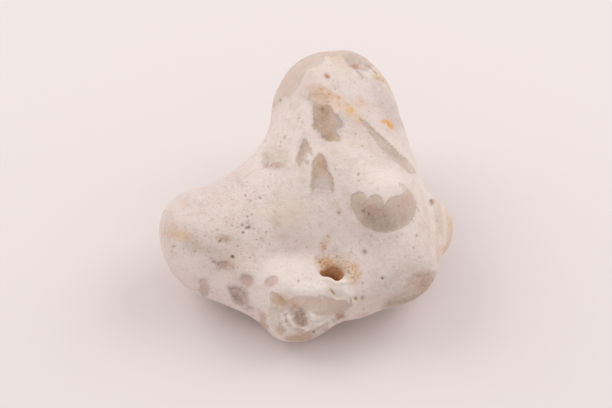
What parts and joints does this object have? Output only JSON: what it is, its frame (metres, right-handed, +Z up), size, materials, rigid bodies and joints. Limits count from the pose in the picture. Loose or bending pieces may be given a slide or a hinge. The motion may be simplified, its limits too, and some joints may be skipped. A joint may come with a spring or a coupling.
{
  "type": "flint nodule",
  "caption": "Knobbly flint nodule with a pale chalky crust, a round button and a bored hole; rests on a small flat spot.",
  "frame": {"origin": "in the flat spot on the underside that the stone rests on, under its centre of mass", "axes": "+Z up; +Y from the low prow in front to the tall crown at the back; +X to the side with the button and the ear"},
  "size_m": [0.0744, 0.0727, 0.0442],
  "materials": {
    "chalky_cortex": "matt, chalky crust over grey-brown flint"
  },
  "bodies": {
    "root": {"flint_nodule": "chalky_cortex"}
  },
  "joints": []
}
